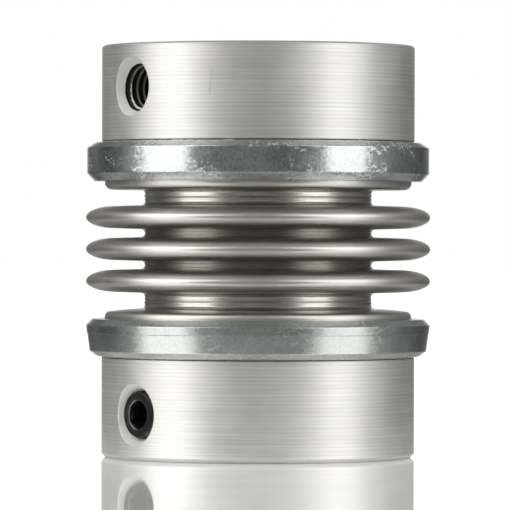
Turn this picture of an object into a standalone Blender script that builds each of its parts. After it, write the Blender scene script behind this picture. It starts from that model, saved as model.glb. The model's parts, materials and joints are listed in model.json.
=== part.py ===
"""Metal bellows shaft coupling: two set-screw hubs joined by a two-ply bellows.

The coupling stands on its lower hub, with its axis on +Z and its origin at the centre of that hub's end face.
Each end of the bellows is a cuff that slips over the hub's nose, and a steel ring pressed over the cuff holds it.
The driving dimensions are in millimetres; everything else is worked out from them.
"""

import math

import bmesh
import bpy
from mathutils import Matrix, Vector

MM = 0.001

# Hubs
HUB_DIAMETER = 32.0
BORE_DIAMETER = 12.0
BORE_CHAMFER = 0.5
LOWER_BODY_LENGTH = 10.2
UPPER_BODY_LENGTH = 9.75
LOWER_END_CHAMFER = 0.4
UPPER_END_CHAMFER = 0.2
NOSE_CHAMFER = 0.3

# Press rings; a chamfer is (width across the radius, height along the axis)
LOWER_RING_HEIGHT = 3.95
UPPER_RING_HEIGHT = 4.1
LOWER_RING_DIAMETER = 35.2
UPPER_RING_DIAMETER = 35.05
LOWER_RING_TAPER = 0.37
LOWER_RING_CHAMFERS = {"hub": (0.65, 0.5), "bellows": (0.62, 0.62)}
UPPER_RING_CHAMFERS = {"hub": (0.75, 0.5), "bellows": (0.78, 0.8)}
RING_SEAT_WIDTH = 0.26
RING_FACE_SLOPE = 0.15

# Bellows
CUFF_DIAMETER = 31.4
LOWER_LIP_STANDOFF = 1.05
UPPER_LIP_STANDOFF = 0.85
LIP_BEND_RADIUS = 0.7
CREST_DIAMETER = 35.25
ROOT_DIAMETER = 23.2
CONVOLUTIONS = 3
CONVOLUTION_PITCH = 3.25
CREST_THICKNESS = 2.25
WALL_SPREAD = 0.1
CREST_DEPTH = 2.9
END_GAP = 1.6
END_FILLET = 0.45
PLY_THICKNESS = 0.15

# Set screws: M5, hexagon socket, cup point
SCREW_DIAMETER = 5.0
SCREW_LENGTH = 6.0
SCREW_THREAD_DEPTH = 0.2
SCREW_CHAMFER = 0.5
SCREW_CUP_DIAMETER = 2.5
SCREW_CUP_DEPTH = 0.7
SOCKET_WIDTH = 2.5
SOCKET_DEPTH = 2.6
SCREW_PITCH = 0.8
LOWER_SCREW_INSET = 0.5
UPPER_SCREW_TURNS_DEEPER = 4
LOWER_SCREW_FROM_END = 4.62
UPPER_SCREW_FROM_END = 4.40
LOWER_COUNTERSINK_DIAMETER = 6.1
UPPER_COUNTERSINK_DIAMETER = 6.0
COUNTERSINK_DEPTH = 1.1
LOWER_HOLE_BEARING = 51.2
UPPER_HOLE_BEARING = 53.5
REAR_HOLE_OFFSET = 90.0

# Clearances between neighbours
SEAT_GAP = 0.04
PLY_GAP = 0.03
THREAD_GAP = 0.08

# Roundness of the solids
TURN_SEGMENTS = 32
SCREW_SEGMENTS = 24
CREST_STEPS = 4
ROOT_STEPS = 2
CUTTER_OVERSHOOT = 1.0

# Sizes that follow from those above
HUB_RADIUS = HUB_DIAMETER / 2
BORE_RADIUS = BORE_DIAMETER / 2
CUFF_RADIUS = CUFF_DIAMETER / 2
WALL_THICKNESS = 2 * PLY_THICKNESS + PLY_GAP
NOSE_RADIUS = CUFF_RADIUS - WALL_THICKNESS - SEAT_GAP
RING_BORE_RADIUS = CUFF_RADIUS + SEAT_GAP
CREST_HALF = CREST_THICKNESS / 2
FOOT_HALF = CREST_HALF + WALL_SPREAD
ROOT_RADIUS = CONVOLUTION_PITCH / 2 - FOOT_HALF
BELLOWS_LENGTH = (CONVOLUTIONS - 1) * CONVOLUTION_PITCH + 2 * (FOOT_HALF + END_GAP)
LOWER_LIP_FACE = LOWER_BODY_LENGTH + LOWER_RING_HEIGHT + LOWER_LIP_STANDOFF
UPPER_LIP_FACE = LOWER_LIP_FACE + BELLOWS_LENGTH
UPPER_SHOULDER = UPPER_LIP_FACE + UPPER_LIP_STANDOFF + UPPER_RING_HEIGHT
TOTAL_LENGTH = UPPER_SHOULDER + UPPER_BODY_LENGTH
LOWER_NOSE_LENGTH = LOWER_RING_HEIGHT + LOWER_LIP_STANDOFF - WALL_THICKNESS - SEAT_GAP
UPPER_NOSE_LENGTH = UPPER_RING_HEIGHT + UPPER_LIP_STANDOFF - WALL_THICKNESS - SEAT_GAP
HOLE_RADIUS = SCREW_DIAMETER / 2 - SCREW_THREAD_DEPTH / 2 + THREAD_GAP
SCREW_BODY_RADIUS = SCREW_DIAMETER / 2 - SCREW_THREAD_DEPTH / 2
UPPER_SCREW_INSET = LOWER_SCREW_INSET + UPPER_SCREW_TURNS_DEEPER * SCREW_PITCH


def clear_scene():
    """Remove every object, so the script starts from an empty scene."""
    for item in list(bpy.data.objects):
        bpy.data.objects.remove(item, do_unlink=True)


def new_collection(name):
    """Make a collection in the scene."""
    collection = bpy.data.collections.new(name)
    bpy.context.scene.collection.children.link(collection)
    return collection


def make_material(name, color, roughness, metallic=1.0):
    """Make a material with one Principled BSDF."""
    material = bpy.data.materials.new(name)
    material.use_nodes = True
    shader = material.node_tree.nodes["Principled BSDF"]
    shader.inputs["Base Color"].default_value = (*color, 1.0)
    shader.inputs["Roughness"].default_value = roughness
    shader.inputs["Metallic"].default_value = metallic
    return material


def arc(centre, radii, start, end, steps):
    """Points (radius, height) on an elliptical arc, from start to end degrees, both ends included."""
    angles = [math.radians(start + (end - start) * i / steps) for i in range(steps + 1)]
    return [(centre[0] + radii[0] * math.cos(a), centre[1] + radii[1] * math.sin(a)) for a in angles]


def flip_ends(profile):
    """Turn a lower-end profile into the upper end's, keeping the same side outermost."""
    return [(radius, TOTAL_LENGTH - height) for radius, height in reversed(profile)]


def turned_object(name, profile, collection, segments=TURN_SEGMENTS):
    """Turn a closed profile of (radius, height) in millimetres about +Z with a Screw modifier."""
    mesh = bpy.data.meshes.new(name)
    points = [(radius * MM, 0.0, height * MM) for radius, height in profile]
    edges = [(i, (i + 1) % len(points)) for i in range(len(points))]
    mesh.from_pydata(points, edges, [])
    turned = bpy.data.objects.new(name, mesh)
    collection.objects.link(turned)
    screw = turned.modifiers.new("Turn", "SCREW")
    screw.axis = "Z"
    screw.angle = math.tau
    screw.steps = segments
    screw.render_steps = segments
    screw.use_merge_vertices = True
    screw.merge_threshold = 1e-6
    screw.use_smooth_shade = False
    return turned


def hub_profile(body_length, nose_length, end_chamfer):
    """Closed outline of a hub whose end face is at height 0, from the nose's bore edge down the outside."""
    nose_top = body_length + nose_length
    return [
        (BORE_RADIUS + BORE_CHAMFER, nose_top),
        (NOSE_RADIUS - NOSE_CHAMFER, nose_top),
        (NOSE_RADIUS, nose_top - NOSE_CHAMFER),
        (NOSE_RADIUS, body_length),
        (HUB_RADIUS, body_length),
        (HUB_RADIUS, end_chamfer),
        (HUB_RADIUS - end_chamfer, 0.0),
        (BORE_RADIUS + BORE_CHAMFER, 0.0),
        (BORE_RADIUS, BORE_CHAMFER),
        (BORE_RADIUS, nose_top - BORE_CHAMFER),
    ]


def ring_profile(body_length, height, diameter, taper, chamfers):
    """Closed outline of a press ring that sits on the shoulder at body_length.

    The taper narrows its hub side. The face on that side is flat on a narrow seat by the bore and then falls
    away from the shoulder to the chamfer.
    """
    bottom = body_length + SEAT_GAP
    top = body_length + height
    outer = diameter / 2
    hub_side = outer - taper
    fall = bottom + RING_FACE_SLOPE
    hub_width, hub_rise = chamfers["hub"]
    bellows_width, bellows_rise = chamfers["bellows"]
    return [
        (RING_BORE_RADIUS, top),
        (outer - bellows_width, top),
        (outer, top - bellows_rise),
        (hub_side, fall + hub_rise),
        (hub_side - hub_width, fall),
        (RING_BORE_RADIUS + RING_SEAT_WIDTH, bottom),
        (RING_BORE_RADIUS, bottom),
    ]


def bellows_surface(depth):
    """Open outline of the bellows wall at a depth below its outer surface, from the lower cuff to the upper.

    The cuff rises to the lip's bend, the lip runs in to the neck, and each convolution is two walls that
    spread a little towards their foot, joined by a half ellipse. The roots between convolutions are half
    circles. Every bend that is hollow from outside grows with the depth, and every other one shrinks.
    """
    lower_cuff_end = (CUFF_RADIUS - depth, LOWER_BODY_LENGTH + SEAT_GAP)
    upper_cuff_end = (CUFF_RADIUS - depth, UPPER_SHOULDER - SEAT_GAP)
    root = ROOT_DIAMETER / 2
    bend = (CUFF_RADIUS - LIP_BEND_RADIUS, LOWER_LIP_FACE - LIP_BEND_RADIUS)
    first_foot = LOWER_LIP_FACE + END_GAP
    fillet = END_FILLET + depth
    lower = arc(bend, (LIP_BEND_RADIUS - depth, LIP_BEND_RADIUS - depth), 0, 90, ROOT_STEPS)
    lower += arc((root + END_FILLET, LOWER_LIP_FACE + END_FILLET), (fillet, fillet), 270, 180, ROOT_STEPS)
    lower += arc((root + END_FILLET, first_foot - END_FILLET), (fillet, fillet), 180, 90, ROOT_STEPS)
    points = [lower_cuff_end] + lower
    for turn in range(CONVOLUTIONS):
        tip = first_foot + FOOT_HALF + turn * CONVOLUTION_PITCH
        crest = (CREST_DIAMETER / 2 - CREST_DEPTH, tip)
        points += arc(crest, (CREST_DEPTH - depth, CREST_HALF - depth), -90, 90, CREST_STEPS)
        if turn < CONVOLUTIONS - 1:
            hollow = (root + ROOT_RADIUS, tip + CONVOLUTION_PITCH / 2)
            radius = ROOT_RADIUS + depth
            points += arc(hollow, (radius, radius), 270, 90, ROOT_STEPS)
    mirrored = LOWER_LIP_FACE + UPPER_LIP_FACE
    upper = [(radius, mirrored - height) for radius, height in reversed(lower)]
    return points + upper + [upper_cuff_end]


def ply_profile(outer_depth):
    """Closed outline of one ply, down its outer surface and back up its inner one."""
    outer = bellows_surface(outer_depth)
    inner = bellows_surface(outer_depth + PLY_THICKNESS)
    return list(reversed(outer)) + inner


def outward(bearing):
    """Direction of a screw hole: level, turned by bearing degrees from -Y towards -X."""
    angle = math.radians(bearing)
    return Vector((-math.sin(angle), -math.cos(angle), 0.0))


def place_radially(item, bearing, radius, height):
    """Put an object at a radius and height with its own +Z pointing outward along the bearing."""
    direction = outward(bearing)
    item.location = direction * radius * MM + Vector((0.0, 0.0, height * MM))
    item.rotation_mode = "QUATERNION"
    item.rotation_quaternion = direction.to_track_quat("Z", "Y")


def mark_cutter(item):
    """Show an object as a wire guide that isn't part of the coupling."""
    item.hide_render = True
    item.display_type = "WIRE"


def add_cut(target, cutter):
    """Cut one object with another by an exact Boolean."""
    boolean = target.modifiers.new("Cut " + cutter.name, "BOOLEAN")
    boolean.operation = "DIFFERENCE"
    boolean.solver = "EXACT"
    boolean.object = cutter


def hole_cutter(name, bearing, height, rim, cutters):
    """Cutter for a tapped hole with a steep countersink of radius rim at the hub's side; its +Z points outward."""
    inner_end = BORE_RADIUS / 2
    outer_end = HUB_RADIUS + CUTTER_OVERSHOOT
    flare = (rim - HOLE_RADIUS) / COUNTERSINK_DEPTH
    profile = [
        (0.0, outer_end),
        (rim + flare * CUTTER_OVERSHOOT, outer_end),
        (HOLE_RADIUS, HUB_RADIUS - COUNTERSINK_DEPTH),
        (HOLE_RADIUS, inner_end),
        (0.0, inner_end),
    ]
    cutter = turned_object(name, profile, cutters, SCREW_SEGMENTS)
    place_radially(cutter, bearing, 0.0, height)
    mark_cutter(cutter)
    return cutter


def socket_cutter(name, cutters):
    """Hexagonal prism for a screw's socket, with its top above the screw's outer end."""
    mesh = bpy.data.meshes.new(name)
    corner = SOCKET_WIDTH / 2 / math.cos(math.pi / 6)
    depth = SOCKET_DEPTH + CUTTER_OVERSHOOT
    shape = bmesh.new()
    bmesh.ops.create_cone(
        shape, cap_ends=True, segments=6, radius1=corner * MM, radius2=corner * MM, depth=depth * MM,
        matrix=Matrix.Translation((0.0, 0.0, (depth / 2 - SOCKET_DEPTH) * MM)),
    )
    shape.to_mesh(mesh)
    shape.free()
    cutter = bpy.data.objects.new(name, mesh)
    cutters.objects.link(cutter)
    mark_cutter(cutter)
    return cutter


def make_hub(name, profile, bearing, height, rim, material, parts, cutters):
    """Turn a hub and cut its two tapped holes, the rear one a quarter turn round from the front one."""
    hub = turned_object(name, profile, parts)
    hub.data.materials.append(material)
    for side, turn in (("front", 0.0), ("rear", REAR_HOLE_OFFSET)):
        add_cut(hub, hole_cutter(f"{name}_{side}_hole", bearing + turn, height, rim, cutters))
    return hub


def make_set_screw(name, bearing, height, inset, material, parts, cutters):
    """Make one set screw with its origin at its outer end, on the hole's axis, inset below the hub's side."""
    profile = [
        (0.0, 0.0),
        (SCREW_BODY_RADIUS - SCREW_CHAMFER, 0.0),
        (SCREW_BODY_RADIUS, -SCREW_CHAMFER),
        (SCREW_BODY_RADIUS, SCREW_CHAMFER - SCREW_LENGTH),
        (SCREW_BODY_RADIUS - SCREW_CHAMFER, -SCREW_LENGTH),
        (SCREW_CUP_DIAMETER / 2, -SCREW_LENGTH),
        (0.0, SCREW_CUP_DEPTH - SCREW_LENGTH),
    ]
    screw = turned_object(name, profile, parts, SCREW_SEGMENTS)
    screw.data.materials.append(material)
    place_radially(screw, bearing, HUB_RADIUS - inset, height)
    socket = socket_cutter(name + "_socket", cutters)
    place_radially(socket, bearing, HUB_RADIUS - inset, height)
    add_cut(screw, socket)
    return screw


def make_turned_part(name, profile, material, parts):
    """Turn a plain ring-shaped part."""
    part = turned_object(name, profile, parts)
    part.data.materials.append(material)
    return part


def main():
    """Build the whole coupling."""
    clear_scene()
    parts = new_collection("bellows_coupling")
    cutters = new_collection("cutters")
    aluminium = make_material("turned_aluminium", (0.66, 0.65, 0.62), 0.34)
    zinc = make_material("zinc_plated_steel", (0.62, 0.66, 0.66), 0.22)
    stainless = make_material("stainless_steel", (0.60, 0.58, 0.55), 0.26)
    black_oxide = make_material("black_oxide_steel", (0.03, 0.03, 0.03), 0.40)

    lower_hub = hub_profile(LOWER_BODY_LENGTH, LOWER_NOSE_LENGTH, LOWER_END_CHAMFER)
    upper_hub = flip_ends(hub_profile(UPPER_BODY_LENGTH, UPPER_NOSE_LENGTH, UPPER_END_CHAMFER))
    lower_height = LOWER_SCREW_FROM_END
    upper_height = TOTAL_LENGTH - UPPER_SCREW_FROM_END
    for name, profile, bearing, height, rim in (
        ("lower_hub", lower_hub, LOWER_HOLE_BEARING, lower_height, LOWER_COUNTERSINK_DIAMETER / 2),
        ("upper_hub", upper_hub, UPPER_HOLE_BEARING, upper_height, UPPER_COUNTERSINK_DIAMETER / 2),
    ):
        make_hub(name, profile, bearing, height, rim, aluminium, parts, cutters)

    lower_ring = ring_profile(
        LOWER_BODY_LENGTH, LOWER_RING_HEIGHT, LOWER_RING_DIAMETER, LOWER_RING_TAPER, LOWER_RING_CHAMFERS,
    )
    upper_ring = ring_profile(
        UPPER_BODY_LENGTH, UPPER_RING_HEIGHT, UPPER_RING_DIAMETER, 0.0, UPPER_RING_CHAMFERS,
    )
    make_turned_part("lower_press_ring", lower_ring, zinc, parts)
    make_turned_part("upper_press_ring", flip_ends(upper_ring), zinc, parts)

    make_turned_part("bellows_outer_ply", ply_profile(0.0), stainless, parts)
    make_turned_part("bellows_inner_ply", ply_profile(PLY_THICKNESS + PLY_GAP), stainless, parts)

    for end, bearing, height, inset in (
        ("lower", LOWER_HOLE_BEARING, lower_height, LOWER_SCREW_INSET),
        ("upper", UPPER_HOLE_BEARING, upper_height, UPPER_SCREW_INSET),
    ):
        for side, turn in (("front", 0.0), ("rear", REAR_HOLE_OFFSET)):
            name = f"{end}_{side}_set_screw"
            make_set_screw(name, bearing + turn, height, inset, black_oxide, parts, cutters)


main()
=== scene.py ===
"""Looks of a metal bellows shaft coupling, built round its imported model.

The hubs, press rings, bellows plies and set screws are surfaces worked out with numpy on grids, each in the
place of the plain solid that it stands for. Lengths are in millimetres until a mesh is made.
"""
import json
import logging
import math
from dataclasses import dataclass, field
from enum import Enum
from typing import ClassVar, Optional, Sequence

import bmesh
import bpy
import numpy as np
from mathutils import Matrix, Quaternion, Vector


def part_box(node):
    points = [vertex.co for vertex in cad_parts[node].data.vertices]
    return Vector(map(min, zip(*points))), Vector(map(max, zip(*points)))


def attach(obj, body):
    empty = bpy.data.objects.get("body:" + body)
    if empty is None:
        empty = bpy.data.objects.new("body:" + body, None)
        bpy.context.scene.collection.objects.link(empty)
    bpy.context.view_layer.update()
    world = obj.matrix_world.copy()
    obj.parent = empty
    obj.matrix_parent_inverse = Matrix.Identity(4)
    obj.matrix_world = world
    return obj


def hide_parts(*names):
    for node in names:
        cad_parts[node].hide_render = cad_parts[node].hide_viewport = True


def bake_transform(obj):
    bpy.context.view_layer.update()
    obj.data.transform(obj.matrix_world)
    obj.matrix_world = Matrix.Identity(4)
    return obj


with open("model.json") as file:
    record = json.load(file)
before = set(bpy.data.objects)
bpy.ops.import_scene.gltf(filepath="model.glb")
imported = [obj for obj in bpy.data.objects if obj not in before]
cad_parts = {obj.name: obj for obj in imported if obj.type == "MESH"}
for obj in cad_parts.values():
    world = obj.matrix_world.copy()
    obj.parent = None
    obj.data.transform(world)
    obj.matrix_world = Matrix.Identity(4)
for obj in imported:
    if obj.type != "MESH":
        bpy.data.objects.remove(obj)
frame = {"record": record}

MM = 0.001
CUT = "cut"
WHITE = (1.0, 1.0, 1.0, 1.0)
LOG = logging.getLogger("bellows_coupling")

Array = np.ndarray
Color = tuple[float, float, float, float]
Pair = tuple[float, float]
Material = bpy.types.Material
Object = bpy.types.Object
Socket = bpy.types.NodeSocket


class End(Enum):
    """The two ends of the coupling."""

    LOWER = "lower"
    UPPER = "upper"


class Side(Enum):
    """Which of a hub's two tapped holes."""

    FRONT = "front"
    REAR = "rear"


# ---------------------------------------------------------------- surfaces


def link(made: Object) -> Object:
    """Put an object in the scene and return it."""
    bpy.context.scene.collection.objects.link(made)
    return made


class Surface:
    """Collects grids of points and welds them into one closed mesh."""

    def __init__(self) -> None:
        """Start with no points."""
        self.points: list[Array] = []
        self.marks: list[Array] = []
        self.faces: list[Array] = []
        self.count = 0

    def add_points(self, points: Array, mark: Optional[Array] = None) -> int:
        """Add loose points and return the index of the first.

        Args:
            points: positions in millimetres, one row each.
            mark: what the finish may tell each point by; 0 if left out.

        Returns:
            The index that the first of them gets.
        """
        first = self.count
        self.points.append(points.reshape(-1, 3))
        self.count += len(self.points[-1])
        self.marks.append(np.zeros(self.count - first) if mark is None else mark.reshape(-1))
        return first

    def add_grid(self, grid: Array, wrap: bool = False, keep: Optional[Array] = None,
                 mark: Optional[Array] = None) -> None:
        """Add a grid of points, with a quad between each two rows and each two columns.

        Args:
            grid: positions in millimetres, shaped rows by columns by 3.
            wrap: whether the last column joins the first.
            keep: which quads to make, shaped as the quads are; all of them if left out.
            mark: the points' marks, shaped as the grid is.
        """
        rows, columns = grid.shape[:2]
        index = self.add_points(grid, mark) + np.arange(rows * columns).reshape(rows, columns)
        after = np.roll(index, -1, axis=1) if wrap else index[:, 1:]
        before = index if wrap else index[:, :-1]
        quads = np.stack([before[:-1], after[:-1], after[1:], before[1:]], axis=-1)
        self.faces.append(quads.reshape(-1, 4) if keep is None else quads[keep])

    def add_fan_in(self, outer: Array, inner: Array) -> None:
        """Join a ring of points to one with half as many, by five-cornered faces.

        Args:
            outer: the ring with more points.
            inner: the ring with half as many, each in line with every second outer one.
        """
        start = self.add_points(outer)
        inside = self.add_points(inner)
        even = np.arange(0, len(outer), 2)
        half = np.arange(len(inner))
        first, middle, last = even, even + 1, (even + 2) % len(outer)
        near, far = half, (half + 1) % len(inner)
        self.faces.append(
            np.stack([start + first, start + middle, start + last, inside + far, inside + near], axis=-1)
        )

    def build(self, name: str, weld: float = 2e-4) -> Object:
        """Make the object: doubles merged, faces turned outwards, smooth.

        Args:
            name: the object's name.
            weld: the distance in millimetres within which points are one.

        Returns:
            The new object, at the origin.
        """
        mesh = bpy.data.meshes.new(name)
        points = np.concatenate(self.points) * MM
        faces = [face for block in self.faces for face in block.tolist()]
        mesh.from_pydata(points.tolist(), [], faces)
        mesh.attributes.new(CUT, "FLOAT", "POINT").data.foreach_set("value", np.concatenate(self.marks))
        shape = bmesh.new()
        shape.from_mesh(mesh)
        bmesh.ops.remove_doubles(shape, verts=shape.verts, dist=weld * MM)
        bmesh.ops.recalc_face_normals(shape, faces=shape.faces)
        shape.to_mesh(mesh)
        shape.free()
        mesh.shade_smooth()
        return link(bpy.data.objects.new(name, mesh))


def turned(profile: Array, columns: int, start: float = 0.0) -> Array:
    """Carry a profile round the Z axis: each point (r, z) goes to (r cos a, r sin a, z) at every angle a.

    Args:
        profile: points (radius, height), one row each.
        columns: how many angles there are in the full turn.
        start: the angle of the first column, in radians.

    Returns:
        A grid shaped profile points by columns by 3.
    """
    angle = start + np.arange(columns) * math.tau / columns
    radius, height = profile[:, :1], profile[:, 1:]
    flat = np.ones_like(angle)[None, :]
    return np.stack([radius * np.cos(angle), radius * np.sin(angle), height * flat], axis=-1)


def rounded(corners: Sequence[tuple[float, float, float]], steps: int = 4, margin: float = 0.05) -> Array:
    """Round the corners of an outline with arcs, and keep its straight runs flat up to them.

    At a corner the arc's centre lies on the bisector, at the radius over the sine of half the angle; its
    points turn evenly from one tangent point to the other. A support point a margin beyond each tangent
    point keeps the smooth shading of the arc off the straight run.

    Args:
        corners: points (radius, height, rounding); the ends of the outline have a rounding of 0.
        steps: how many pieces each arc has.
        margin: how far the support points are from the arcs.

    Returns:
        The outline's points, one row each.
    """
    points = np.array([corner[:2] for corner in corners], float)
    outline = [points[0]]
    roundings = [corner[2] for corner in corners[1:-1]]
    for before, corner, after, rounding in zip(points, points[1:], points[2:], roundings):
        if rounding <= 0:
            outline.append(corner)
            continue
        back = (before - corner) / np.linalg.norm(before - corner)
        ahead = (after - corner) / np.linalg.norm(after - corner)
        half = math.acos(float(np.clip(back @ ahead, -1, 1))) / 2
        reach = rounding / math.tan(half)
        middle = (back + ahead) / np.linalg.norm(back + ahead)
        centre = corner + middle * rounding / math.sin(half)
        one = corner + back * reach - centre
        two = corner + ahead * reach - centre
        share = np.linspace(0, 1, steps + 1)[:, None]
        opening = math.pi - 2 * half
        arc = (np.sin((1 - share) * opening) * one + np.sin(share * opening) * two) / math.sin(opening)
        outline.append(corner + back * (reach + margin))
        outline.extend(centre + arc)
        outline.append(corner + ahead * (reach + margin))
    outline.append(points[-1])
    return np.array(outline)


# ---------------------------------------------------------------- finishes


class Graph:
    """A short way to write the nodes of a material or of the world."""

    def __init__(self, name: str, kind: str = "Material") -> None:
        """Make a material or a world, with its output and its place.

        Args:
            name: its name.
            kind: Material or World.
        """
        world = kind == "World"
        self.owner = (bpy.data.worlds if world else bpy.data.materials).new(name)
        self.owner.use_nodes = True
        self.tree = self.owner.node_tree
        self.output = self.tree.nodes[f"{kind} Output"]
        self.shader = self.tree.nodes["Background" if world else "Principled BSDF"]
        self.place = self.add("ShaderNodeTexCoord").outputs["Generated" if world else "Object"]

    def add(self, kind: str, **inputs: object) -> bpy.types.Node:
        """Add a node and set or link its inputs by name.

        Args:
            kind: the node's type.
            inputs: values or sockets, by input name with _ for a space.

        Returns:
            The node.
        """
        node = self.tree.nodes.new(kind)
        for key, value in inputs.items():
            self.feed(node.inputs[key.replace("_", " ")], value)
        return node

    def feed(self, socket: Socket, value: object) -> None:
        """Link a socket to an input, or set the input's own value."""
        if isinstance(value, Socket):
            self.tree.links.new(value, socket)
        else:
            socket.default_value = value

    def math(self, operation: str, *values: object) -> Socket:
        """The result of one arithmetic step."""
        node = self.tree.nodes.new("ShaderNodeMath")
        node.operation = operation
        for socket, value in zip(node.inputs, values):
            self.feed(socket, value)
        return node.outputs[0]

    def plus(self, first: object, second: object) -> Socket:
        """The sum of two values."""
        return self.math("ADD", first, second)

    def minus(self, first: object, second: object) -> Socket:
        """The first value less the second."""
        return self.math("SUBTRACT", first, second)

    def times(self, first: object, second: object) -> Socket:
        """The product of two values."""
        return self.math("MULTIPLY", first, second)

    def distance(self, first: object, second: object) -> Socket:
        """The root of the sum of two squares."""
        return self.math("SQRT", self.plus(self.times(first, first), self.times(second, second)))

    def noise(self, vector: object, scale: float, detail: float = 2.0, rough: float = 0.5) -> Socket:
        """Fractal noise from 0 to 1 at a scale in turns per metre."""
        return self.add(
            "ShaderNodeTexNoise", Vector=vector, Scale=scale, Detail=detail, Roughness=rough
        ).outputs["Fac"]

    def ramp(self, value: object, low: float, high: float, start: float = 0.0, end: float = 1.0) -> Socket:
        """Map low..high smoothly to start..end."""
        node = self.tree.nodes.new("ShaderNodeMapRange")
        node.interpolation_type = "SMOOTHSTEP"
        for socket, item in zip(node.inputs, (value, low, high, start, end)):
            self.feed(socket, item)
        return node.outputs["Result"]

    def mix(self, factor: object, first: object, second: object) -> Socket:
        """Blend two colours."""
        node = self.tree.nodes.new("ShaderNodeMix")
        node.data_type = "RGBA"
        for name, value in (("Factor", factor), ("A", first), ("B", second)):
            sockets = [s for s in node.inputs if s.name == name and s.type in ("RGBA", "VALUE")]
            self.feed(sockets[0] if name == "Factor" else sockets[-1], value)
        return [s for s in node.outputs if s.type == "RGBA"][0]

    def scaled(self, along: tuple[float, float, float]) -> Socket:
        """The place, stretched by a factor along each axis."""
        node = self.add("ShaderNodeMapping", Vector=self.place)
        node.inputs["Scale"].default_value = along
        return node.outputs["Vector"]

    def attribute(self, name: str) -> Socket:
        """A number that the mesh holds at each point."""
        node = self.tree.nodes.new("ShaderNodeAttribute")
        node.attribute_name = name
        return node.outputs["Fac"]

    def parts(self) -> tuple[Socket, Socket, Socket]:
        """The place's X, Y and Z: metres in a material, a direction in the world."""
        x, y, z = self.add("ShaderNodeSeparateXYZ", Vector=self.place).outputs
        return x, y, z

    def joined(self, x: object, y: object, z: object) -> Socket:
        """A vector from its parts."""
        return self.add("ShaderNodeCombineXYZ", X=x, Y=y, Z=z).outputs[0]

    def bump(self, height: object, depth: float) -> None:
        """Raise the surface by height, which runs from 0 to 1, times depth in millimetres."""
        node = self.add("ShaderNodeBump", Height=height, Distance=depth * MM, Strength=1.0)
        self.feed(self.shader.inputs["Normal"], node.outputs["Normal"])

    def shade(self, color: object, roughness: object, metallic: float = 1.0) -> Material:
        """Set the shader's main inputs and return the material."""
        self.feed(self.shader.inputs["Base Color"], color)
        self.feed(self.shader.inputs["Roughness"], roughness)
        self.shader.inputs["Metallic"].default_value = metallic
        return self.owner

    def choose(self, camera: Socket, others: Socket) -> None:
        """Show one shader to the camera and another to everything else."""
        choice = self.add("ShaderNodeMixShader", Fac=self.add("ShaderNodeLightPath").outputs["Is Camera Ray"])
        self.feed(choice.inputs[1], others)
        self.feed(choice.inputs[2], camera)
        self.feed(self.output.inputs["Surface"], choice.outputs[0])


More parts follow.
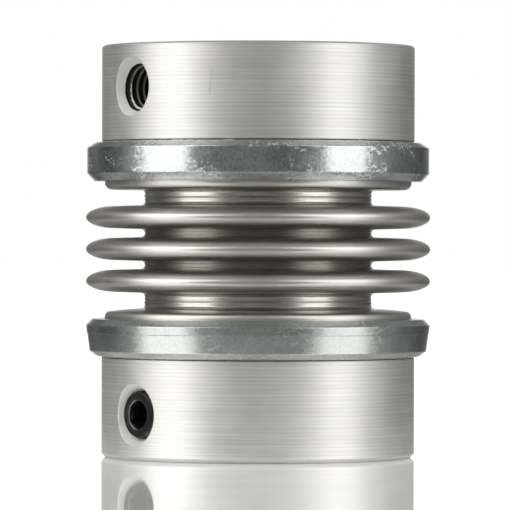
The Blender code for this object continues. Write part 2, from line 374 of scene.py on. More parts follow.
@dataclass(frozen=True)
class TurnedAluminium:
    """Bare aluminium from the lathe: feed marks round the axis, tapped holes whose threads carry painted
    shade, and one scratch.
    """

    light: Color = (0.83, 0.82, 0.80, 1.0)
    dark: Color = (0.62, 0.62, 0.60, 1.0)
    # painted shade: thread is the near black painted at the threads' roots and crest the mid grey at their
    # crests, for the shade inside the tapped holes
    thread: Color = (0.05, 0.048, 0.042, 1.0)
    crest: Color = (0.50, 0.49, 0.46, 1.0)
    countersink: Color = (0.97, 0.965, 0.95, 1.0)
    roughness: float = 0.46
    cut_roughness: float = 0.85
    feed: float = 0.39
    groove: float = 0.004
    coarse_scale: float = 7000.0
    fine_scale: float = 16000.0
    wander_scale: float = 90.0
    wander_stretch: float = 70.0
    scratch_place: Pair = (-4.77, 38.0)
    scratch_half: float = 1.35
    scratch_lean: float = 0.1

    def scratch(self, graph: Graph) -> Socket:
        """A thin upright scratch on the front, leaning a tenth of its height.

        Args:
            graph: the material's nodes.

        Returns:
            How much of the scratch there is, from 0 to 1.
        """
        x, y, z = graph.parts()
        side, middle = self.scratch_place
        half = self.scratch_half
        rise = graph.minus(z, middle * MM)
        off = graph.minus(graph.minus(x, side * MM), graph.times(rise, self.scratch_lean))
        line = graph.ramp(graph.math("ABSOLUTE", off), 0.04 * MM, 0.11 * MM, 1.0, 0.0)
        span = graph.ramp(graph.math("ABSOLUTE", rise), (half - 0.3) * MM, half * MM, 1.0, 0.0)
        front = graph.ramp(y, -2 * MM, 0.0, 1.0, 0.0)
        return graph.times(graph.times(line, span), front)

    def material(self) -> Material:
        """Feed marks run along height plus radius, so they ring the side and the faces alike.

        The mark on each point says what tool cut it: 0 for the lathe, 0.5 for the countersink, and from 1 at
        a thread's root to 2 at its crest. In the tapped holes the colour is painted shade: near black at the
        threads' roots, mid grey at their crests.

        Returns:
            The material.
        """
        graph = Graph("turned_aluminium")
        x, y, z = graph.parts()
        along = graph.plus(z, graph.distance(x, y))
        line = graph.joined(0.0, 0.0, along)
        wander = graph.noise(graph.joined(x, y, graph.times(along, self.wander_stretch)), self.wander_scale)
        phase = graph.times(along, math.tau / (self.feed * MM))
        swing = graph.math("SINE", graph.plus(phase, graph.times(wander, 3.0)))
        groove = graph.math("POWER", graph.math("MAXIMUM", swing, 0.0), 2.0)
        groove = graph.times(groove, graph.ramp(wander, 0.35, 0.65, 0.35, 1.0))
        coarse = graph.noise(line, self.coarse_scale, 3.0, 0.6)
        fine = graph.noise(line, self.fine_scale, 2.0, 0.6)
        marks = graph.minus(graph.plus(coarse, graph.times(fine, 0.5)), groove)
        cut = graph.attribute(CUT)
        lathe = graph.ramp(cut, 0.05, 0.35, 1.0, 0.0)
        graph.bump(graph.times(marks, lathe), self.groove)
        patch = graph.ramp(graph.noise(graph.place, 160.0, 4.0, 0.6), 0.35, 0.7)
        tint = graph.times(graph.minus(coarse, 0.5), 1.6)
        tint = graph.plus(tint, graph.times(graph.minus(wander, 0.5), 1.4))
        tint = graph.minus(tint, graph.times(groove, 0.55))
        tint = graph.plus(tint, graph.plus(graph.times(patch, 0.2), 0.62))
        tint = graph.times(graph.math("MINIMUM", graph.math("MAXIMUM", tint, 0.0), 1.0), lathe)
        tint = graph.times(tint, graph.minus(1.0, self.scratch(graph)))
        color = graph.mix(lathe, self.countersink, graph.mix(tint, self.dark, self.light))
        # painted shade in the tapped holes: near black at the thread roots, mid grey at the crests
        tapped = graph.mix(graph.ramp(cut, 1.55, 1.98), self.thread, self.crest)
        color = graph.mix(graph.ramp(cut, 0.55, 0.98), color, tapped)
        rough = graph.plus(graph.times(patch, 0.05), self.roughness)
        rough = graph.times(graph.minus(rough, self.cut_roughness), lathe)
        return graph.shade(color, graph.plus(rough, self.cut_roughness))


@dataclass(frozen=True)
class ZincPlate:
    """Zinc on steel, with clouds, white flecks and a fine grain."""

    name: str
    light: Color = (0.65, 0.68, 0.69, 1.0)
    dark: Color = (0.38, 0.405, 0.41, 1.0)
    fleck: Color = (0.86, 0.89, 0.89, 1.0)
    roughness: float = 0.15
    flecks: float = 1.0
    relief: float = 0.0014

    def material(self) -> Material:
        """Clouds and grain of tint, with flecks where a fine and a coarse noise are both high.

        Returns:
            The material.
        """
        graph = Graph(self.name)
        cloud = graph.ramp(graph.noise(graph.place, 420.0, 4.0, 0.65), 0.35, 0.68)
        speckle = graph.ramp(graph.noise(graph.scaled((1.0, 1.0, 0.8)), 4200.0, 3.0, 0.8), 0.40, 0.62)
        cluster = graph.ramp(graph.noise(graph.scaled((1.0, 1.0, 1.3)), 260.0), 0.46, 0.64)
        grain = graph.ramp(graph.noise(graph.scaled((0.8, 0.8, 1.5)), 2300.0, 3.0, 0.7), 0.50, 0.60)
        flecks = graph.times(graph.times(cluster, grain), self.flecks)
        tone = graph.plus(graph.times(cloud, 0.4), graph.times(speckle, 0.6))
        color = graph.mix(flecks, graph.mix(tone, self.dark, self.light), self.fleck)
        rough = graph.plus(self.roughness, graph.times(flecks, 0.35))
        rough = graph.plus(rough, graph.times(tone, 0.08))
        raised = graph.plus(graph.times(flecks, 0.5), graph.times(speckle, 0.35))
        graph.bump(graph.plus(raised, cloud), self.relief)
        return graph.shade(color, rough)


@dataclass(frozen=True)
class SatinStainless:
    """Cold-formed stainless sheet, smooth and slightly warm."""

    light: Color = (0.70, 0.68, 0.65, 1.0)
    dark: Color = (0.58, 0.56, 0.53, 1.0)
    roughness: float = 0.34
    neck_roughness: float = 0.20
    relief: float = 0.0012

    def material(self) -> Material:
        """Faint rings drawn round the axis by forming, and a soft cloud of tint.

        Returns:
            The material.
        """
        graph = Graph("stainless_steel")
        x, y, z = graph.parts()
        radius = graph.distance(x, y)
        drawn = graph.noise(graph.joined(radius, 0.0, z), 5200.0, 3.0, 0.6)
        cloud = graph.ramp(graph.noise(graph.place, 240.0, 3.0), 0.35, 0.7)
        tint = graph.plus(graph.times(cloud, 0.5), graph.times(drawn, 0.5))
        wear = graph.ramp(radius, 12.2 * MM, 15.5 * MM, self.neck_roughness, self.roughness)
        graph.bump(drawn, self.relief)
        rough = graph.plus(wear, graph.times(drawn, 0.06))
        return graph.shade(graph.mix(tint, self.dark, self.light), rough)


@dataclass(frozen=True)
class BlackOxide:
    """Hardened steel blackened by an oxide bath, rubbed brighter in places."""

    base: Color = (0.022, 0.021, 0.020, 1.0)
    worn: Color = (0.11, 0.105, 0.10, 1.0)
    # painted highlight: the lighter grey painted on the marked ring at the socket's mouth
    edge: Color = (0.32, 0.31, 0.30, 1.0)
    roughness: float = 0.36
    relief: float = 0.002
    metallic: float = 0.7

    def material(self) -> Material:
        """A dark coat with rubbed patches from noise, and a painted highlight in lighter grey where a point
        is marked.

        Returns:
            The material.
        """
        graph = Graph("black_oxide_steel")
        rub = graph.ramp(graph.noise(graph.place, 1500.0, 4.0, 0.7), 0.55, 0.75)
        rough = graph.minus(self.roughness, graph.times(rub, 0.12))
        graph.bump(graph.noise(graph.place, 9000.0), self.relief)
        # painted highlight on the marked ring at the socket's mouth
        marked = graph.ramp(graph.attribute(CUT), 0.3, 1.0)
        color = graph.mix(marked, graph.mix(rub, self.base, self.worn), self.edge)
        return graph.shade(color, rough, self.metallic)


# ---------------------------------------------------------------- pieces


class Piece:
    """A piece that stands for one solid and rides on one body."""

    look: ClassVar[str]
    sharp: ClassVar[float] = 0.0

    def make(self, finish: Material) -> Object:
        """Make the piece and dress it.

        Args:
            finish: its material.

        Returns:
            The piece.
        """
        made = self.skin().build(f"{self.node}_{self.look}")
        made.data.materials.append(finish)
        if self.sharp:
            made.data.set_sharp_from_angle(angle=math.radians(self.sharp))
        return made


@dataclass
class EndPiece(Piece):
    """A turned piece of one end of the coupling, with the size and place of its solid."""

    end: End

    kind: ClassVar[str]

    def __post_init__(self) -> None:
        """Read the radius and the heights of the solid."""
        low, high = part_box(self.node)
        self.radius = (high.x - low.x) / 2 / MM
        self.low, self.high = low.z / MM, high.z / MM

    @property
    def node(self) -> str:
        """The solid that the piece stands for."""
        return f"{self.end.value}_{self.kind}"

    @property
    def body(self) -> str:
        """The body that the piece is on."""
        return f"{self.end.value}_end"

    def rise(self, height: Array) -> Array:
        """Turn a height above the side that faces the coupling's end into a height in the frame."""
        return self.low + height if self.end is End.LOWER else self.high - height


@dataclass(frozen=True)
class Thread:
    """A metric thread of 60 degrees, as a radius that depends on the phase along its helix."""

    major: float = 2.5
    pitch: float = 0.8
    depth: float = 0.433
    clearance: float = 0.05
    start: float = 0.5
    root: float = 0.125
    flank: float = 0.775
    rows: int = 14

    @property
    def step(self) -> float:
        """The distance between the rows of a threaded surface."""
        return self.pitch / self.rows

    def inside(self, inward: Array, angle: Array) -> Array:
        """Radius of a tapped hole: flat for an eighth of a pitch at its root and a tenth at its crest.

        The phase along the helix is the start, plus depth over pitch, plus the angle's share of a turn.

        Args:
            inward: depth below the hub's side, in millimetres.
            angle: angle round the hole, anticlockwise as seen from outside.

        Returns:
            The radius at each pair.
        """
        phase = np.mod(inward / self.pitch + angle / math.tau + self.start, 1.0)
        away = np.abs(phase - 0.5) * 2
        return self.major - self.depth * np.clip((away - self.root) / self.flank, 0, 1)

    def outside(self, inward: Array, angle: Array) -> Array:
        """Radius of the screw that runs in the hole, a clearance smaller all along."""
        return self.inside(inward, angle) - self.clearance


@dataclass
class Hole:
    """One tapped hole of a hub, with its countersink."""

    direction: Vector
    height: float
    rim: float
    surface: float
    bore: float
    flare: float = 0.54
    break_edge: float = 0.03
    level: float = 0.7
    bore_margin: float = 0.12
    thread: Thread = field(default_factory=Thread)

    SAMPLES: ClassVar[int] = 80
    HALF_CELLS: ClassVar[int] = 10

    @property
    def angle(self) -> Array:
        """Angles round the hole, anticlockwise as seen from outside, starting level."""
        return np.arange(self.SAMPLES) * math.tau / self.SAMPLES

    @property
    def square(self) -> Array:
        """The outline of the square round the hole, from -1 to 1 each way, one point for each angle."""
        index = np.arange(self.SAMPLES)
        side, quarter = self.HALF_CELLS, self.SAMPLES // 4
        across = quarter - np.minimum(index, self.SAMPLES - index)
        turned_index = (index - quarter) % self.SAMPLES
        up = quarter - np.minimum(turned_index, self.SAMPLES - turned_index)
        return np.clip(np.stack([across, up], axis=-1), -side, side) / side

    def place(self, side: Array, up: Array, inward: Array) -> Array:
        """Put points given across the hole, up and inward from the hub's side into the hub's frame."""
        outward = np.array(self.direction)
        right = np.array(Vector((0, 0, 1)).cross(self.direction))
        reach = (self.surface - inward)[..., None]
        level = outward * reach + right * side[..., None]
        return level + np.array([0.0, 0.0, 1.0]) * (self.height + up)[..., None]

    def drop(self, side: Array, radius: float) -> Array:
        """How far inward a round wall of that radius lies at a distance across the hole's axis."""
        return self.surface - np.sqrt(radius**2 - side**2)

    def patch(self, inner: Array, radius: float, half_arc: float, half_height: float) -> Array:
        """Part of a round wall between the hole's edge and the square round it.

        Both are unrolled on the wall (arc length, height), a straight blend runs from one to the other with
        rings closer near the hole, and each point is rolled back: its angle is arc length over radius.

        Args:
            inner: the hole's radius at each angle.
            radius: the wall's radius.
            half_arc: half the square's width along the wall.
            half_height: half its height.

        Returns:
            A grid of rings by angles by 3.
        """
        share = (np.linspace(0, 1, 7) ** 1.5)[:, None]
        edge_arc = radius * np.arcsin(inner * np.cos(self.angle) / radius)
        edge_up = inner * np.sin(self.angle)
        arc = (1 - share) * edge_arc + share * self.square[:, 0] * half_arc
        up = (1 - share) * edge_up + share * self.square[:, 1] * half_height
        side = radius * np.sin(arc / radius)
        inward = self.surface - radius * np.cos(arc / radius)
        return self.place(side, up, inward)

    def rim_radius(self) -> Array:
        """Where the countersink meets the round side: its radius less the flare times the drop there."""
        radius = np.full(self.SAMPLES, self.rim)
        for _ in range(6):
            radius = self.rim - self.flare * self.drop(radius * np.cos(self.angle), self.surface)
        return radius

    def wall(self, outer: Array, inner: Array) -> tuple[Array, Array]:
        """The countersink and the threads, from the hub's side to its bore.

        Each row is at a depth that runs from the round side to a level one, and its radius is the larger of
        the countersink's and the thread's. The last row lies on the bore.

        Args:
            outer: the radius of the first row, on the side, at each angle.
            inner: the radius of the last row, on the bore.

        Returns:
            A grid of rows by angles by 3, and each point's mark: 0 on the edge, 0.5 on the cone, and from
            1 at a thread's root to 2 at its crest.
        """
        angle = self.angle[None, :]
        edge = self.rim_radius()
        drop = self.drop(edge * np.cos(self.angle), self.surface)
        share = np.linspace(0.06, 1, 7)[:, None]
        upper = drop * (1 - share) + self.level * share
        step = self.thread.step
        deep = self.surface - self.bore - self.bore_margin
        lower = np.arange(self.level + step, deep, step)[:, None] * np.ones_like(angle)
        inward = np.concatenate([upper, lower])
        cone = self.rim - self.flare * inward
        tapped = self.thread.inside(inward, angle)
        radius = np.maximum(cone, tapped)
        mark = np.where(cone > tapped, 0.5, 1 + (self.thread.major - tapped) / self.thread.depth)
        mark = np.vstack([0 * outer, 0 * outer, mark, 0 * inner + 1])
        first_drop = self.drop(outer * np.cos(self.angle), self.surface)
        last_drop = self.drop(inner * np.cos(self.angle), self.bore)
        soft_radius = (outer + radius[0]) / 2
        soft_drop = self.drop(soft_radius * np.cos(self.angle), self.surface) + self.break_edge * 0.22
        radius = np.vstack([outer, soft_radius, radius, inner])
        inward = np.vstack([first_drop, soft_drop, inward, last_drop])
        return self.place(radius * np.cos(angle), radius * np.sin(angle), inward), mark


@dataclass
class Hub(EndPiece):
    """A hub: turned body and nose, bore, and two tapped holes a quarter turn apart."""

    bearing: float
    end_chamfer: float
    countersink: float
    hole_from_end: float
    bore: float = 6.0
    bore_chamfer: float = 0.5
    nose: float = 15.28
    nose_relief: float = 0.3
    press_gap: float = 0.04
    wall_margin: float = 0.12
    mouth: float = 2.32
    columns: int = 256
    hole_half_height: float = 3.7
    bore_half_height: float = 2.85

    kind: ClassVar[str] = "hub"
    look: ClassVar[str] = "turned"

    def __post_init__(self) -> None:
        """Read the solid too for where the body ends, a gap short of the press ring."""
        super().__post_init__()
        ring_low, ring_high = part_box(f"{self.end.value}_press_ring")
        ring = ring_low.z / MM - self.low if self.end is End.LOWER else self.high - ring_high.z / MM
        self.shoulder = ring - self.press_gap

    @property
    def length(self) -> float:
        """From the end face to the nose's face, which stays clear of the lip."""
        return self.high - self.low - self.nose_relief

    def direction(self, side: Side) -> Vector:
        """The way that a hole faces."""
        turn = math.radians(self.bearing + (90.0 if side is Side.REAR else 0.0))
        return Vector((-math.sin(turn), -math.cos(turn), 0.0))

    def hole(self, side: Side) -> Hole:
        """The hole on that side."""
        height = float(self.rise(np.array(self.hole_from_end)))
        return Hole(self.direction(side), height, self.countersink / 2, self.radius, self.bore)

    def round_wall(self, surface: Surface, radius: float, columns: int, span: Pair,
                   half_height: float, rows: int, start: float) -> None:
        """Add a round wall with a square left open round each hole.

        Args:
            surface: where it goes.
            radius: the wall's radius.
            columns: how many there are in the full turn.
            span: the heights above the end face that it runs between.
            half_height: half the open squares' height.
            rows: how many rows there are above and below the squares.
            start: the angle of the first hole, where the first column is.
        """
        cells = 2 * Hole.HALF_CELLS
        low, high = self.hole_from_end - half_height, self.hole_from_end + half_height
        heights = np.concatenate([
            np.linspace(span[0], low, rows + 1)[:-1],
            np.linspace(low, high, cells + 1)[:-1],
            np.linspace(high, span[1], rows + 1),
        ])
        profile = np.stack([np.full_like(heights, radius), self.rise(heights)], axis=-1)
        column = np.arange(columns)
        quarter = columns // 4
        opened = np.zeros(columns, bool)
        for first in (0, -quarter):
            away = (column - first + columns // 2) % columns - columns // 2
            opened |= (away >= -Hole.HALF_CELLS) & (away < Hole.HALF_CELLS)
        row = np.arange(len(heights) - 1)
        level = (row >= rows) & (row < rows + cells)
        surface.add_grid(turned(profile, columns, start), True, ~(level[:, None] & opened[None, :]))

    def skin(self) -> Surface:
        """The whole closed surface of the hub.

        The side and the bore are round walls with square gaps; a patch fills each gap round its hole, and
        each hole's threaded wall joins the side to the bore. The faces are turned from a rounded outline.
        The bore has half as many columns as the side, and a ring of five-cornered faces joins the two.

        Returns:
            The surface.
        """
        surface = Surface()
        first = self.direction(Side.FRONT)
        start = math.atan2(first.y, first.x)
        columns, few = self.columns, self.columns // 2
        body = self.shoulder
        side_span = (self.end_chamfer + self.wall_margin, body - self.wall_margin)
        bore_span = (self.bore_chamfer + 0.1, self.length - self.bore_chamfer - 0.1)
        self.round_wall(surface, self.radius, columns, side_span, self.hole_half_height, 6, start)
        self.round_wall(surface, self.bore, few, bore_span, self.bore_half_height, 4, start)
        radius, bore, chamfer = self.radius, self.bore, self.end_chamfer
        waist = (radius + bore) / 2
        ends = (
            (0.0, self.bore_chamfer, bore_span[0],
             [(radius, side_span[0], 0), (radius, chamfer, 0.1), (radius - chamfer, 0, 0.08), (waist, 0, 0)]),
            (self.length, -self.bore_chamfer, bore_span[1],
             [(radius, side_span[1], 0), (radius, body, 0.08), (self.nose, body, 0),
              (self.nose, self.length, 0.25), (waist, self.length, 0)]),
        )
        for face, inward, last, outer in ends:
            inner = [
                (waist - 0.3, face, 0), (bore + self.bore_chamfer, face, 0.08), (bore, face + inward, 0.08),
                (bore, last, 0),
            ]
            wide, narrow = rounded(outer, margin=0.02), rounded(inner, margin=0.02)
            wide[:, 1], narrow[:, 1] = self.rise(wide[:, 1]), self.rise(narrow[:, 1])
            many, half = turned(wide, columns, start), turned(narrow, few, start)
            surface.add_grid(many, True)
            surface.add_grid(half, True)
            surface.add_fan_in(many[-1], half[0])
        for side in Side:
            hole = self.hole(side)
            edge = hole.rim_radius() + hole.break_edge
            mouth = np.full(Hole.SAMPLES, self.mouth)
            cells = Hole.HALF_CELLS * math.tau
            surface.add_grid(hole.patch(edge, radius, cells / columns * radius, self.hole_half_height), True)
            surface.add_grid(hole.patch(mouth, bore, cells / few * bore, self.bore_half_height), True)
            wall, mark = hole.wall(edge, mouth)
            surface.add_grid(wall, True, mark=mark)
        return surface

    def build(self, finish: Material) -> Object:
        """Make the hub, dress it and put it on its body.

        Args:
            finish: its material.

        Returns:
            The hub.
        """
        made = self.make(finish)
        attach(made, self.body)
        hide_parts(self.node)
        return made


@dataclass
class PressRing(EndPiece):
    """A steel ring pressed over the bellows cuff."""

    taper: float
    heel: Pair
    brow: Pair
    seat: float = 0.26
    fall: float = 0.15
    bore: float = 15.74
    shelf_down: float = 0.85
    wave: float = 0.0012
    columns: int = 320

    kind: ClassVar[str] = "press_ring"
    look: ClassVar[str] = "zinc"

    def outline(self) -> Array:
        """The ring's section, from its bore's bellows side round the outside to its bore's hub side.

        Returns:
            Points (radius, height in the frame).
        """
        tall = self.high - self.low
        outer, foot = self.radius, self.radius - self.taper
        brow_in, brow_down = self.brow
        heel_in, heel_up = self.heel
        crimp = tall - brow_down - self.shelf_down
        shelf = outer - self.taper * 0.2
        corners = [
            (self.bore, tall, 0.0),
            (outer - brow_in, tall, 0.12),
            (outer, tall - brow_down, 0.10),
            (shelf, crimp + 0.05, 0.03),
            (shelf - 0.05, crimp, 0.03),
            (foot, self.fall + heel_up, 0.15),
            (foot - heel_in, self.fall, 0.16),
            (self.bore + self.seat, 0.0, 0.03),
            (self.bore, 0.0, 0.0),
        ]
        if not self.taper:
            del corners[3:5]
        section = rounded(corners, 5)
        section[:, 1] = self.rise(section[:, 1])
        return section

    def skin(self) -> Surface:
        """The ring's closed surface, its side waved by a few micrometres so that reflections wander.

        Returns:
            The surface.
        """
        section = self.outline()
        back = np.stack([np.full(9, self.bore), np.linspace(section[-1, 1], section[0, 1], 9)], axis=-1)
        grid = turned(np.concatenate([section, back[1:]]), self.columns)
        angle = np.arange(self.columns) * math.tau / self.columns
        height = grid[..., 2]
        wave = np.sin(5 * angle + 1.3 * height) + 0.7 * np.sin(11 * angle - 2.1 * height + 1.0)
        wave = wave + 0.5 * np.sin(23 * angle + 3.0 * height + 2.0) - 2.2
        radius = np.hypot(grid[..., 0], grid[..., 1])
        share = 1 + self.wave * wave / radius * (radius > self.bore + 0.2)
        grid[..., :2] *= share[..., None]
        surface = Surface()
        surface.add_grid(grid, True)
        return surface

    def build(self, finish: Material) -> Object:
        """Make the ring, dress it and put it on its body.

        Args:
            finish: its material.

        Returns:
            The ring.
        """
        made = self.make(finish)
        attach(made, f"{self.end.value}_end")
        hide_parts(self.node)
        return made


class Ply(Enum):
    """The two walls of the bellows and how far each lies below the outer surface."""

    OUTER = 0.0
    INNER = 0.18


@dataclass
class Bellows:
    """The bellows: two plies, each in three spans that meet at the roots between convolutions."""

    cuff: float = 15.7
    bend: float = 0.7
    crest_depth: float = 2.9
    crest_half: float = 1.125
    foot_half: float = 1.225
    pitch: float = 3.25
    root: float = 11.6
    end_gap: float = 1.6
    end_fillet: float = 0.45
    thickness: float = 0.15
    dome: float = 0.28
    columns: int = 288

    def __post_init__(self) -> None:
        """Read the bellows' size and place from its solid and the rings beside it."""
        low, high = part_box("bellows_outer_ply")
        self.crest = (high.x - low.x) / 2 / MM
        self.low, self.high = low.z / MM, high.z / MM
        reach = self.pitch + self.foot_half + self.end_gap
        self.middle = frame["record"]["behaviour"]["joints"][1]["pos_m"][2] / MM
        self.lower_lip, self.upper_lip = self.middle - reach, self.middle + reach

    @staticmethod
    def arc(centre: Pair, reach: Pair, span: Pair,
            steps: int) -> Array:
        """Points on an ellipse: centre plus reach times the cosine and sine of angles over the span."""
        angle = np.radians(np.linspace(span[0], span[1], steps + 1))
        return np.stack([centre[0] + reach[0] * np.cos(angle), centre[1] + reach[1] * np.sin(angle)], axis=-1)

    def end_outline(self, depth: float, cuff_end: float, dome: float) -> Array:
        """One end of the wall, from the cuff over the lip and down the neck to the first foot.

        The lip's face falls towards its bend by the dome times a power of its share of the way out. The neck
        has a fine groove round it between two beads.

        Args:
            depth: how far below the outer surface the outline runs.
            cuff_end: how far the cuff's end is below the lip.
            dome: how far the lip's face falls.

        Returns:
            Points (radius, height above the lip).
        """
        fillet = self.end_fillet + depth
        bend = self.bend - depth - dome / 2
        corner = (self.cuff - depth - bend, -depth - dome - bend)
        inner, outer = self.root + self.end_fillet + 0.1, corner[0] - 0.08
        face = np.linspace(outer, inner, 9)
        fallen = -depth - dome * ((face - inner) / (outer - inner)) ** 1.4
        neck = [(0.05, 0.62), (0.05, 0.74), (-0.03, 0.79), (-0.03, 0.84), (0.045, 0.90), (0.03, 1.0)]
        foot = (self.root + self.end_fillet, self.end_gap - self.end_fillet)
        return np.concatenate([
            np.stack([np.full(8, self.cuff - depth), np.linspace(-cuff_end, corner[1] - 0.05, 8)], axis=-1),
            self.arc(corner, (bend, bend), (0, 84), 10),
            np.stack([face, fallen], axis=-1),
            self.arc((self.root + self.end_fillet, self.end_fillet), (fillet, fillet), (270, 186), 8),
            np.array(neck) + np.array([self.root - depth, 0.0]),
            self.arc(foot, (fillet, fillet), (180, 90), 8),
        ])

    def outline(self, depth: float) -> tuple[Array, Array]:
        """The whole wall at a depth, and which of its points are where spans meet.

        A convolution is a half ellipse between two walls that spread to its feet. Between two of them the
        root is a half circle. The upper end is the lower one turned over, with a flat lip.

        Args:
            depth: how far below the outer surface the outline runs.

        Returns:
            The points (radius, height), and the two indices at the roots' bottoms.
        """
        start = self.end_outline(depth, self.lower_lip - self.low, self.dome)
        start[:, 1] = self.lower_lip + start[:, 1]
        blocks, joints, count = [start], [], len(start)
        for tip in self.middle + self.pitch * np.array([-1, 0, 1]):
            crest = self.arc((self.crest - self.crest_depth, tip),
                             (self.crest_depth - depth, self.crest_half - depth), (-90, 90), 26)
            blocks.append(crest)
            count += len(crest)
            if tip < self.middle + self.pitch / 2:
                hollow = self.pitch / 2 - self.foot_half
                centre = (self.root + hollow, tip + self.pitch / 2)
                blocks.append(self.arc(centre, (hollow + depth, hollow + depth), (270, 90), 12))
                joints.append(count + 6)
                count += 13
        finish = self.end_outline(depth, self.high - self.upper_lip, 0.0)[::-1]
        finish[:, 1] = self.upper_lip - finish[:, 1]
        return np.concatenate([*blocks, finish]), np.array(joints)

    def span(self, ply: Ply, which: int) -> Surface:
        """One span of one ply: its outer surface, and its inner one back to the start.

        Args:
            ply: which ply.
            which: 0 for the lower span, 1 for the middle one, 2 for the upper one.

        Returns:
            The closed surface.
        """
        outer, joints = self.outline(ply.value)
        inner, _ = self.outline(ply.value + self.thickness)
        cuts = [0, joints[0], joints[1], len(outer) - 1]
        part = slice(cuts[which], cuts[which + 1] + 1)
        loop = np.concatenate([outer[part], inner[part][::-1], outer[part][:1]])
        surface = Surface()
        surface.add_grid(turned(loop, self.columns), True)
        return surface

    def build(self, finish: Material) -> list[Object]:
        """Make both plies, three spans each, and dress them.

        Args:
            finish: the plies' material.

        Returns:
            The six pieces.
        """
        made = []
        for ply in Ply:
            for which, name in enumerate(("lower", "middle", "upper")):
                piece = self.span(ply, which).build(f"bellows_{ply.name.lower()}_{name}_span", 1e-5)
                piece.data.materials.append(finish)
                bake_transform(piece)
                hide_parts(f"bellows_{ply.name.lower()}_ply")
                made.append(piece)
        return made


@dataclass
class SetScrew(Piece):
    """A hex-socket set screw with a cup point, in one of a hub's holes."""

    hub: Hub
    side: Side
    inset: float
    length: float = 6.0
    socket: float = 2.5
    socket_depth: float = 2.6
    chamfer: float = 0.2
    cup: float = 1.25
    cup_depth: float = 0.7
    samples: int = 96

    look: ClassVar[str] = "threaded"
    sharp: ClassVar[float] = 42.0

    @property
    def node(self) -> str:
        """The solid that this screw stands for."""
        return f"{self.hub.end.value}_{self.side.value}_set_screw"

    @property
    def body(self) -> str:
        """The body that the screw is on."""
        return f"{self.hub.end.value}_{self.side.value}_screw"

    def skin(self) -> Surface:
        """The screw's closed surface, in rows from the socket's bottom to the cup's.

        The socket's radius is that of a hexagon, half its width over the cosine of the angle from the
        middle of the nearest flat. The thread's rows follow the hub's own thread, a clearance inside it,
        and are cut by a cone at each end. The socket's mouth is marked for a painted highlight.

        Returns:
            The surface.
        """
        hole = self.hub.hole(self.side)
        thread = hole.thread
        angle = (np.arange(self.samples) * math.tau / self.samples)[None, :]
        sector = np.mod(angle + math.pi / 6, math.pi / 3) - math.pi / 6
        hexagon = self.socket / 2 / np.cos(sector)
        corner = self.socket / 2 / math.cos(math.pi / 6)
        deep = self.socket_depth
        top = thread.major - thread.clearance - self.chamfer
        core = thread.major - thread.depth - thread.clearance
        socket_rows = [
            (0.0, deep + 0.5), (0.55 * self.socket / 2, deep + 0.22), (0.96 * hexagon, deep),
            (hexagon, deep - 0.04), (hexagon, deep * 0.5), (hexagon, 0.34),
            (hexagon * 0.35 + corner * 0.66, 0.14), (corner + 0.06, 0.03),
            (corner + 0.10, 0.0), (top - 0.06, 0.0), (top - 0.01, 0.008),
        ]
        # the row at the socket's mouth that gets the painted highlight
        highlight_row = 7
        rows = np.arange(0.03, self.length - 0.02, thread.step)[:, None]
        cone = np.minimum(top + rows * 1.0, core - 0.25 + (self.length - rows) * 1.0)
        threads = np.minimum(thread.outside(self.inset + rows, angle), cone)
        nose = core - 0.25
        tip_rows = [
            (nose - 0.02, self.length), (self.cup + 0.05, self.length),
            (self.cup, self.length - 0.02), (0.0, self.length - self.cup_depth),
        ]
        even = np.ones_like(angle)
        above, below = [
            np.stack([np.vstack([item[part] * even for item in block]) for part in (0, 1)])
            for block in (socket_rows, tip_rows)
        ]
        radius, depth = np.concatenate([above, np.stack([threads, rows * even]), below], axis=1)
        inward = self.inset + depth
        mark = np.zeros_like(radius)
        # mark the socket's mouth for the painted highlight
        mark[highlight_row] = 1.0
        surface = Surface()
        surface.add_grid(hole.place(radius * np.cos(angle), radius * np.sin(angle), inward), True, mark=mark)
        return surface

    def build(self, finish: Material) -> Object:
        """Make the screw, dress it and put it on its body.

        Args:
            finish: its material.

        Returns:
            The screw.
        """
        made = self.make(finish)
        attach(made, self.body)
        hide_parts(self.node)
        return made


# ---------------------------------------------------------------- studio


@dataclass
class Softbox:
    """A rectangular light that leans over the coupling, from a far low edge to a near high one."""

    name: str
    bearing: float
    width: float
    brightness: float
    far: float = 600.0
    near: float = 150.0
    low: float = -20.0
    high: float = 230.0
    tone: tuple[float, float, float] = (1.0, 0.99, 0.97)

    def build(self) -> Object:
        """Place the light, with its power from its brightness times its area and pi.

        Returns:
            The light.
        """
        turn = math.radians(self.bearing)
        away = Vector((math.sin(turn), -math.cos(turn), 0))
        foot = (away * self.far + Vector((0, 0, self.low))) * MM
        head = (away * self.near + Vector((0, 0, self.high))) * MM
        light = bpy.data.lights.new(self.name, "AREA")
        light.shape = "RECTANGLE"
        light.size, light.size_y = self.width * MM, (head - foot).length
        light.energy = self.brightness * math.pi * light.size * light.size_y
        light.color = self.tone
        made = link(bpy.data.objects.new(self.name, light))
        up = (head - foot).normalized()
        across = Vector((0, 0, 1)).cross(away).normalized()
        back = across.cross(up)
        made.matrix_world = Matrix((across, up, back)).transposed().to_4x4()
        made.location = (foot + head) / 2
        made.visible_camera = False
        return made


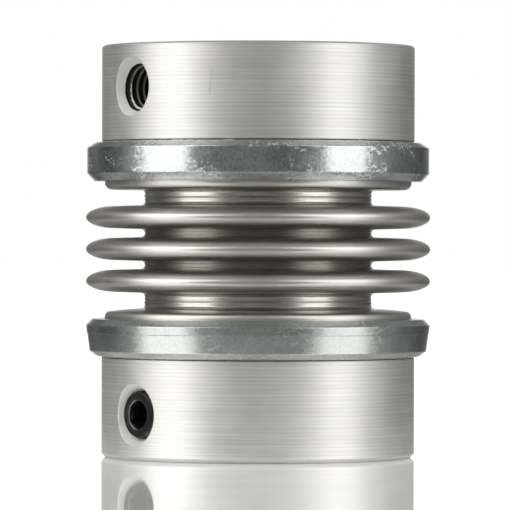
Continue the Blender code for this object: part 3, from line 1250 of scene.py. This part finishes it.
@dataclass
class Studio:
    """The floor, the lights, the surroundings and the camera."""

    distance: float = 510.0
    eye_level: float = 22.8
    aim_level: float = 20.68
    aside: float = -0.313
    lens: float = 351.4
    sensor: float = 36.0
    roll: float = 0.13
    floor_size: float = 6000.0
    floor_color: Color = (0.80, 0.80, 0.80, 1.0)
    floor_lift: float = 0.12
    floor_roughness: float = 0.04
    mirror: Color = (0.70, 0.70, 0.70, 1.0)
    mirror_roughness: float = 0.12
    glow_aside: float = 4.0
    overhead: float = 0.27
    backdrop: float = 1.0
    air: Color = (0.985, 1.0, 0.975, 1.0)
    room: tuple[Pair, ...] = (
        (-180, 0.22), (-156, 0.12), (-141, 0.20), (-130, 0.15), (-121, 0.09), (-107, 0.18), (-100, 0.32),
        (-94, 0.38), (-88, 0.50), (-48, 0.60), (-45, 0.58), (-40, 0.36), (-28, 0.25), (-12, 0.26), (0, 0.28),
        (17, 0.17), (29, 0.22), (37, 0.37), (42, 0.58), (80, 0.52), (88, 0.42), (100, 0.27), (114, 0.19),
        (124, 0.16), (133, 0.13), (144, 0.10), (162, 0.20), (180, 0.22),
    )

    def floor(self) -> Object:
        """A wide pale glossy floor, which lights the coupling from below by a glow in a ring round it.

        Returns:
            The floor.
        """
        half = self.floor_size * MM / 2
        mesh = bpy.data.meshes.new("studio_floor")
        corners = [(-half, -half, 0), (half, -half, 0), (half, half, 0), (-half, half, 0)]
        mesh.from_pydata(corners, [], [(0, 1, 2, 3)])
        made = link(bpy.data.objects.new("studio_floor", mesh))
        graph = Graph("studio_floor")
        mesh.materials.append(graph.shade(self.floor_color, self.floor_roughness, 0.0))
        graph.shader.inputs["Emission Color"].default_value = WHITE
        graph.shader.inputs["Emission Strength"].default_value = self.floor_lift
        x, y, _ = graph.parts()
        reach = graph.distance(x, y)
        away = graph.distance(graph.plus(x, self.glow_aside * MM), y)
        near = graph.ramp(reach, 15.3 * MM, 16.2 * MM)
        glow = graph.times(near, graph.ramp(away, 18 * MM, 30 * MM, 0.42, 0.18))
        glow = graph.times(glow, graph.ramp(away, 50 * MM, 100 * MM, 1.0, 0.0))
        mirror = graph.add("ShaderNodeBsdfGlossy", Color=self.mirror, Roughness=self.mirror_roughness)
        bounce = graph.tree.nodes.new("ShaderNodeAddShader")
        graph.feed(bounce.inputs[0], mirror.outputs[0])
        graph.feed(bounce.inputs[1], graph.add("ShaderNodeEmission", Strength=glow).outputs[0])
        graph.choose(graph.shader.outputs[0], bounce.outputs[0])
        return made

    def surroundings(self) -> None:
        """A dim grey room round the lights, with a bright backdrop behind; the camera sees it white."""
        graph = Graph("studio", "World")
        bpy.context.scene.world = graph.owner
        x, y, z = graph.parts()
        turn = graph.math("ARCTAN2", x, graph.times(y, -1.0))
        share = graph.plus(graph.math("DIVIDE", turn, math.tau), 0.5)
        walls = graph.add("ShaderNodeValToRGB", Fac=share)
        stops = walls.color_ramp.elements
        for angle, light in self.room:
            place = angle / 360 + 0.5
            stop = stops[0] if place == 0 else stops[-1] if place == 1 else stops.new(place)
            stop.color = (light, light, light, 1.0)
        high = graph.ramp(z, 0.25, 0.6)
        level = graph.times(walls.outputs[0], graph.minus(1.0, high))
        level = graph.plus(level, graph.times(high, self.overhead))
        back = graph.times(graph.ramp(y, 0.965, 0.985), self.backdrop)
        room = graph.add("ShaderNodeBackground", Color=self.air, Strength=graph.plus(level, back))
        graph.shader.inputs["Color"].default_value = WHITE
        graph.choose(graph.shader.outputs[0], room.outputs[0])

    def camera(self) -> Object:
        """A long lens, level with the bellows.

        Returns:
            The camera.
        """
        data = bpy.data.cameras.new("camera")
        data.lens, data.sensor_width = self.lens, self.sensor
        data.clip_start, data.clip_end = 0.01, 20.0
        made = link(bpy.data.objects.new("camera", data))
        made.location = Vector((self.aside, -self.distance, self.eye_level)) * MM
        target = Vector((self.aside, 0.0, self.aim_level)) * MM
        made.rotation_mode = "QUATERNION"
        lean = Quaternion((0.0, 0.0, 1.0), math.radians(self.roll))
        made.rotation_quaternion = (target - made.location).to_track_quat("-Z", "Y") @ lean
        bpy.context.scene.camera = made
        return made

    def build(self) -> None:
        """Set up everything that isn't the coupling."""
        self.camera()
        self.floor()
        self.surroundings()
        Softbox("left_softbox", -65.3, 302.0, 1.76).build()
        Softbox("right_softbox", 60.6, 264.0, 1.60).build()
        bpy.context.scene.view_settings.view_transform = "Standard"


def report(piece: Object) -> None:
    """Log a finished piece's name and number of faces."""
    LOG.info("%s: %d faces", piece.name, len(piece.data.polygons))


def main() -> None:
    """Build the studio and the coupling, piece by piece."""
    logging.basicConfig(level=logging.INFO, format="%(message)s")
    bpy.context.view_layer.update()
    Studio().build()
    aluminium = TurnedAluminium().material()
    plates = {
        End.LOWER: ZincPlate(
            "dull_zinc", light=(0.61, 0.64, 0.625, 1.0), dark=(0.47, 0.50, 0.485, 1.0),
            fleck=(0.74, 0.77, 0.76, 1.0), roughness=0.20, flecks=0.3,
        ),
        End.UPPER: ZincPlate("bright_zinc"),
    }
    stainless = SatinStainless().material()
    black = BlackOxide().material()
    hubs = {
        End.LOWER: Hub(End.LOWER, bearing=51.2, end_chamfer=0.4, countersink=6.2, hole_from_end=4.62),
        End.UPPER: Hub(End.UPPER, bearing=53.5, end_chamfer=0.2, countersink=5.9, hole_from_end=4.40),
    }
    rings = (
        PressRing(End.LOWER, taper=0.37, heel=(0.65, 0.5), brow=(0.62, 0.62)),
        PressRing(End.UPPER, taper=0.0, heel=(0.75, 0.5), brow=(0.78, 0.8)),
    )
    insets = {End.LOWER: 0.5, End.UPPER: 3.7}
    for hub in hubs.values():
        report(hub.build(aluminium))
    for ring in rings:
        report(ring.build(plates[ring.end].material()))
    for piece in Bellows().build(stainless):
        report(piece)
    for end, hub in hubs.items():
        for side in Side:
            report(SetScrew(hub, side, insets[end]).build(black))


if __name__ == "__main__":
    main()
